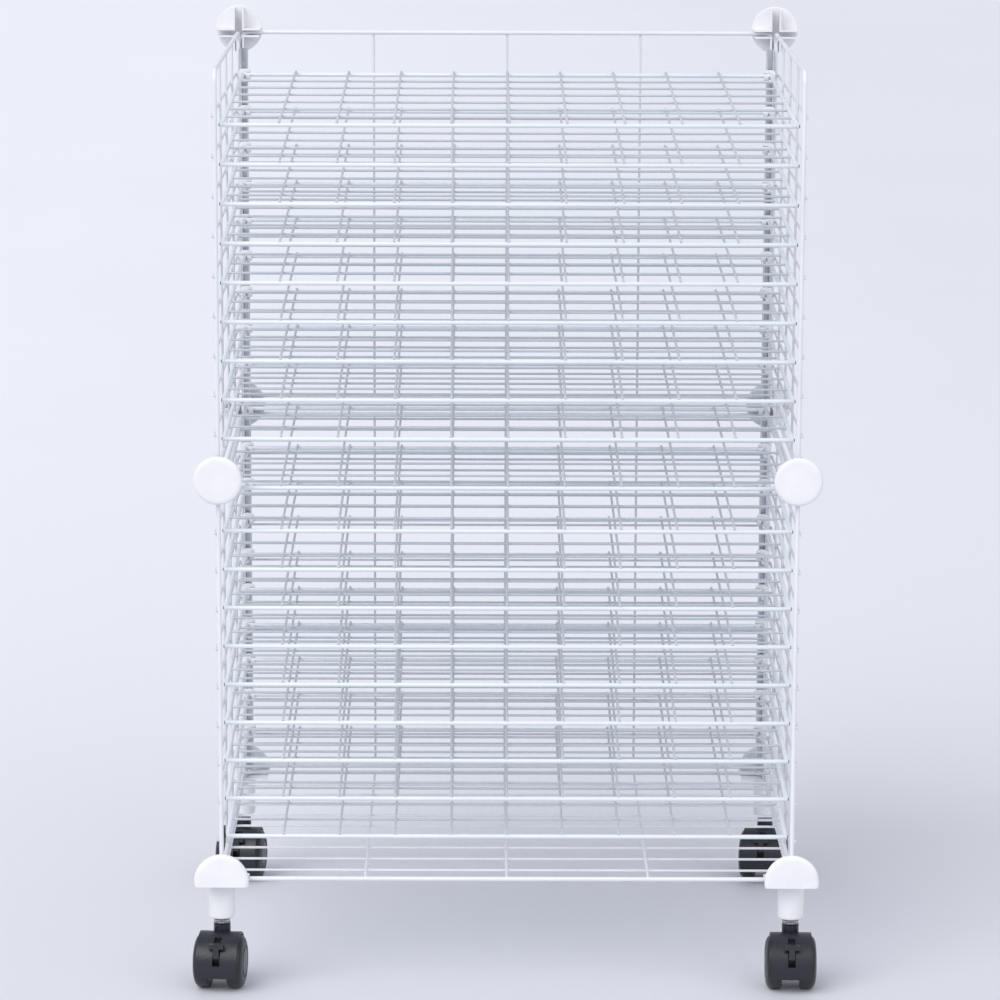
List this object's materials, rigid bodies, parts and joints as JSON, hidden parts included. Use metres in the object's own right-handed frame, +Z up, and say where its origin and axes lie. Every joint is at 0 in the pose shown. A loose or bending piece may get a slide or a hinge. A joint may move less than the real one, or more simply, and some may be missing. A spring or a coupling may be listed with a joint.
{
  "type": "wire art paper drying rack",
  "caption": "Mobile art drying rack: welded wire side, back and bottom grids on braked twin-wheel casters, with a stack of wire shelves that hinge up from the rear.",
  "frame": {"origin": "on the floor, midway between the two side grids and midway between their front and rear wires, which is the middle of the underside of the whole rack's box to about 2 mm", "axes": "+Z up, front of the rack toward -Y, +X to the right seen from the front"},
  "size_m": [0.5619, 0.4097, 0.851],
  "materials": {
    "frame_wire": "satin white powder coat",
    "shelf_wire": "satin white powder coat",
    "zinc_channel": "dull zinc-plated steel",
    "white_plastic": "satin white moulded plastic",
    "bright_steel": "bright plated steel",
    "axle_steel": "turned steel",
    "black_housing": "satin black nylon",
    "black_wheel": "satin black nylon",
    "black_lever": "satin black nylon"
  },
  "bodies": {
    "frame": {"side_grid_upper_left": "frame_wire", "side_grid_lower_left": "frame_wire", "side_grid_upper_right": "frame_wire", "side_grid_lower_right": "frame_wire", "back_grid_upper": "frame_wire", "back_grid_lower": "frame_wire", "bottom_grid": "frame_wire", "post_left": "zinc_channel", "post_right": "zinc_channel", "hinge_clips_left": "white_plastic", "hinge_clips_right": "white_plastic", "connector_top_left": "white_plastic", "connector_top_right": "white_plastic", "connector_front_left": "white_plastic", "connector_front_right": "white_plastic", "connector_rear_left": "white_plastic", "connector_rear_right": "white_plastic", "foot_front_left": "white_plastic", "foot_front_right": "white_plastic", "foot_rear_left": "white_plastic", "foot_rear_right": "white_plastic", "stem_front_left": "bright_steel", "stem_front_right": "bright_steel", "stem_rear_left": "bright_steel", "stem_rear_right": "bright_steel"},
    "shelf_01": {"shelf_01": "shelf_wire"},
    "shelf_02": {"shelf_02": "shelf_wire"},
    "shelf_03": {"shelf_03": "shelf_wire"},
    "shelf_04": {"shelf_04": "shelf_wire"},
    "shelf_05": {"shelf_05": "shelf_wire"},
    "shelf_06": {"shelf_06": "shelf_wire"},
    "shelf_07": {"shelf_07": "shelf_wire"},
    "shelf_08": {"shelf_08": "shelf_wire"},
    "shelf_09": {"shelf_09": "shelf_wire"},
    "shelf_10": {"shelf_10": "shelf_wire"},
    "shelf_11": {"shelf_11": "shelf_wire"},
    "shelf_12": {"shelf_12": "shelf_wire"},
    "shelf_13": {"shelf_13": "shelf_wire"},
    "shelf_14": {"shelf_14": "shelf_wire"},
    "shelf_15": {"shelf_15": "shelf_wire"},
    "shelf_16": {"shelf_16": "shelf_wire"},
    "shelf_17": {"shelf_17": "shelf_wire"},
    "shelf_18": {"shelf_18": "shelf_wire"},
    "shelf_19": {"shelf_19": "shelf_wire"},
    "caster_front_left": {"housing_front_left": "black_housing"},
    "wheels_front_left": {"wheels_front_left": "black_wheel", "axle_front_left": "axle_steel"},
    "brake_front_left": {"brake_front_left": "black_lever"},
    "caster_front_right": {"housing_front_right": "black_housing"},
    "wheels_front_right": {"wheels_front_right": "black_wheel", "axle_front_right": "axle_steel"},
    "brake_front_right": {"brake_front_right": "black_lever"},
    "caster_rear_left": {"housing_rear_left": "black_housing"},
    "wheels_rear_left": {"wheels_rear_left": "black_wheel", "axle_rear_left": "axle_steel"},
    "brake_rear_left": {"brake_rear_left": "black_lever"},
    "caster_rear_right": {"housing_rear_right": "black_housing"},
    "wheels_rear_right": {"wheels_rear_right": "black_wheel", "axle_rear_right": "axle_steel"},
    "brake_rear_right": {"brake_rear_right": "black_lever"}
  },
  "joints": [
    {"name": "shelf_01_lift", "type": "hinge", "parent": "frame", "child": "shelf_01", "pos_m": [0, 0.17, 0.788], "axis": [-1, 0, 0], "range_deg": [0, 60]},
    {"name": "shelf_02_lift", "type": "hinge", "parent": "frame", "child": "shelf_02", "pos_m": [0, 0.17, 0.7534], "axis": [-1, 0, 0], "range_deg": [0, 60]},
    {"name": "shelf_03_lift", "type": "hinge", "parent": "frame", "child": "shelf_03", "pos_m": [0, 0.17, 0.7188], "axis": [-1, 0, 0], "range_deg": [0, 60]},
    {"name": "shelf_04_lift", "type": "hinge", "parent": "frame", "child": "shelf_04", "pos_m": [0, 0.17, 0.6842], "axis": [-1, 0, 0], "range_deg": [0, 60]},
    {"name": "shelf_05_lift", "type": "hinge", "parent": "frame", "child": "shelf_05", "pos_m": [0, 0.17, 0.6496], "axis": [-1, 0, 0], "range_deg": [0, 60]},
    {"name": "shelf_06_lift", "type": "hinge", "parent": "frame", "child": "shelf_06", "pos_m": [0, 0.17, 0.615], "axis": [-1, 0, 0], "range_deg": [0, 60]},
    {"name": "shelf_07_lift", "type": "hinge", "parent": "frame", "child": "shelf_07", "pos_m": [0, 0.17, 0.5804], "axis": [-1, 0, 0], "range_deg": [0, 60]},
    {"name": "shelf_08_lift", "type": "hinge", "parent": "frame", "child": "shelf_08", "pos_m": [0, 0.17, 0.5458], "axis": [-1, 0, 0], "range_deg": [0, 60]},
    {"name": "shelf_09_lift", "type": "hinge", "parent": "frame", "child": "shelf_09", "pos_m": [0, 0.17, 0.5112], "axis": [-1, 0, 0], "range_deg": [0, 60]},
    {"name": "shelf_10_lift", "type": "hinge", "parent": "frame", "child": "shelf_10", "pos_m": [0, 0.17, 0.4674], "axis": [-1, 0, 0], "range_deg": [0, 60]},
    {"name": "shelf_11_lift", "type": "hinge", "parent": "frame", "child": "shelf_11", "pos_m": [0, 0.17, 0.4287], "axis": [-1, 0, 0], "range_deg": [0, 60]},
    {"name": "shelf_12_lift", "type": "hinge", "parent": "frame", "child": "shelf_12", "pos_m": [0, 0.17, 0.3938], "axis": [-1, 0, 0], "range_deg": [0, 60]},
    {"name": "shelf_13_lift", "type": "hinge", "parent": "frame", "child": "shelf_13", "pos_m": [0, 0.17, 0.3589], "axis": [-1, 0, 0], "range_deg": [0, 60]},
    {"name": "shelf_14_lift", "type": "hinge", "parent": "frame", "child": "shelf_14", "pos_m": [0, 0.17, 0.324], "axis": [-1, 0, 0], "range_deg": [0, 60]},
    {"name": "shelf_15_lift", "type": "hinge", "parent": "frame", "child": "shelf_15", "pos_m": [0, 0.17, 0.2891], "axis": [-1, 0, 0], "range_deg": [0, 60]},
    {"name": "shelf_16_lift", "type": "hinge", "parent": "frame", "child": "shelf_16", "pos_m": [0, 0.17, 0.2542], "axis": [-1, 0, 0], "range_deg": [0, 60]},
    {"name": "shelf_17_lift", "type": "hinge", "parent": "frame", "child": "shelf_17", "pos_m": [0, 0.17, 0.2193], "axis": [-1, 0, 0], "range_deg": [0, 60]},
    {"name": "shelf_18_lift", "type": "hinge", "parent": "frame", "child": "shelf_18", "pos_m": [0, 0.17, 0.1844], "axis": [-1, 0, 0], "range_deg": [0, 60]},
    {"name": "shelf_19_lift", "type": "hinge", "parent": "frame", "child": "shelf_19", "pos_m": [0, 0.17, 0.1495], "axis": [-1, 0, 0], "range_deg": [0, 60]},
    {"name": "swivel_front_left", "type": "hinge", "parent": "frame", "child": "caster_front_left", "pos_m": [-0.2562, -0.168, 0.05], "axis": [0, 0, 1], "continuous": true},
    {"name": "roll_front_left", "type": "hinge", "parent": "caster_front_left", "child": "wheels_front_left", "pos_m": [-0.25735, -0.17894, 0.024], "axis": [0.9945, -0.1045, 0], "continuous": true},
    {"name": "brake_front_left", "type": "hinge", "parent": "caster_front_left", "child": "brake_front_left", "pos_m": [-0.2596, -0.20032, 0.034], "axis": [0.9945, -0.1045, 0], "range_deg": [0, 15]},
    {"name": "swivel_front_right", "type": "hinge", "parent": "frame", "child": "caster_front_right", "pos_m": [0.2562, -0.168, 0.05], "axis": [0, 0, 1], "continuous": true},
    {"name": "roll_front_right", "type": "hinge", "parent": "caster_front_right", "child": "wheels_front_right", "pos_m": [0.25601, -0.179, 0.024], "axis": [0.9998, -0.0175, 0], "continuous": true},
    {"name": "brake_front_right", "type": "hinge", "parent": "caster_front_right", "child": "brake_front_right", "pos_m": [0.25563, -0.2005, 0.034], "axis": [0.9998, -0.0175, 0], "range_deg": [0, 15]},
    {"name": "swivel_rear_left", "type": "hinge", "parent": "frame", "child": "caster_rear_left", "pos_m": [-0.2562, 0.183, 0.05], "axis": [0, 0, 1], "continuous": true},
    {"name": "roll_rear_left", "type": "hinge", "parent": "caster_rear_left", "child": "wheels_rear_left", "pos_m": [-0.25773, 0.17211, 0.024], "axis": [0.9903, -0.1392, 0], "continuous": true},
    {"name": "brake_rear_left", "type": "hinge", "parent": "caster_rear_left", "child": "brake_rear_left", "pos_m": [-0.26072, 0.15082, 0.034], "axis": [0.9903, -0.1392, 0], "range_deg": [0, 15]},
    {"name": "swivel_rear_right", "type": "hinge", "parent": "frame", "child": "caster_rear_right", "pos_m": [0.2562, 0.183, 0.05], "axis": [0, 0, 1], "continuous": true},
    {"name": "roll_rear_right", "type": "hinge", "parent": "caster_rear_right", "child": "wheels_rear_right", "pos_m": [0.25429, 0.17217, 0.024], "axis": [0.9848, -0.1736, 0], "continuous": true},
    {"name": "brake_rear_right", "type": "hinge", "parent": "caster_rear_right", "child": "brake_rear_right", "pos_m": [0.25056, 0.15099, 0.034], "axis": [0.9848, -0.1736, 0], "range_deg": [0, 15]}
  ],
  "couplings": [
    {"joint": "shelf_02_lift", "follows": "shelf_01_lift", "ratio": 1},
    {"joint": "shelf_03_lift", "follows": "shelf_01_lift", "ratio": 1},
    {"joint": "shelf_04_lift", "follows": "shelf_01_lift", "ratio": 1},
    {"joint": "shelf_05_lift", "follows": "shelf_01_lift", "ratio": 1},
    {"joint": "shelf_06_lift", "follows": "shelf_01_lift", "ratio": 1},
    {"joint": "shelf_07_lift", "follows": "shelf_01_lift", "ratio": 1},
    {"joint": "shelf_08_lift", "follows": "shelf_01_lift", "ratio": 1},
    {"joint": "shelf_09_lift", "follows": "shelf_01_lift", "ratio": 1},
    {"joint": "shelf_10_lift", "follows": "shelf_01_lift", "ratio": 1},
    {"joint": "shelf_11_lift", "follows": "shelf_01_lift", "ratio": 1},
    {"joint": "shelf_12_lift", "follows": "shelf_01_lift", "ratio": 1},
    {"joint": "shelf_13_lift", "follows": "shelf_01_lift", "ratio": 1},
    {"joint": "shelf_14_lift", "follows": "shelf_01_lift", "ratio": 1},
    {"joint": "shelf_15_lift", "follows": "shelf_01_lift", "ratio": 1},
    {"joint": "shelf_16_lift", "follows": "shelf_01_lift", "ratio": 1},
    {"joint": "shelf_17_lift", "follows": "shelf_01_lift", "ratio": 1},
    {"joint": "shelf_18_lift", "follows": "shelf_01_lift", "ratio": 1},
    {"joint": "shelf_19_lift", "follows": "shelf_01_lift", "ratio": 1}
  ]
}
